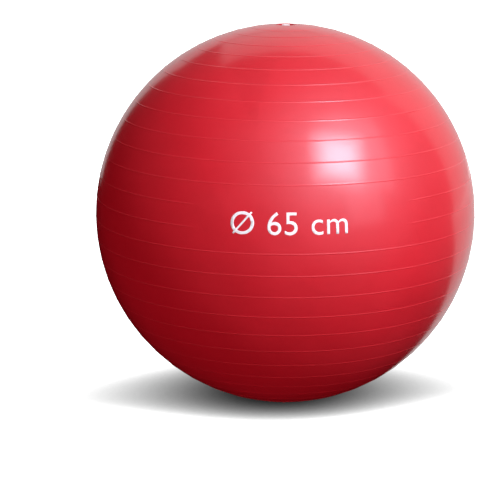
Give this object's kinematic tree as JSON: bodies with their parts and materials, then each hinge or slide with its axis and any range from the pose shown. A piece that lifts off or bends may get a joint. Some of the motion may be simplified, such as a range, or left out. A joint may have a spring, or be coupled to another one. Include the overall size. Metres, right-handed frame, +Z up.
{
  "type": "inflatable exercise ball",
  "caption": "Inflatable ribbed PVC exercise ball for physiotherapy, 650 mm across, with a bonded valve seat in its top pole and a pull-out stopper.",
  "frame": {"origin": "middle of the flat patch that the ball stands on, on the floor", "axes": "+Z up through the valve, along the axis of the ribs; the smooth field for the print faces -Y"},
  "size_m": [0.6516, 0.6516, 0.6478],
  "materials": {
    "skin_pvc": "glossy red PVC",
    "seat_pvc": "satin",
    "plug_white": "satin",
    "print_white": "screen-printed white ink"
  },
  "bodies": {
    "ball": {"ball_skin": "skin_pvc", "valve_seat": "seat_pvc"},
    "plug": {"valve_plug": "plug_white"}
  },
  "joints": [
    {"name": "plug_pull", "type": "slide", "parent": "ball", "child": "plug", "axis": [0, 0, 1], "range_m": [0, 0.035]}
  ]
}
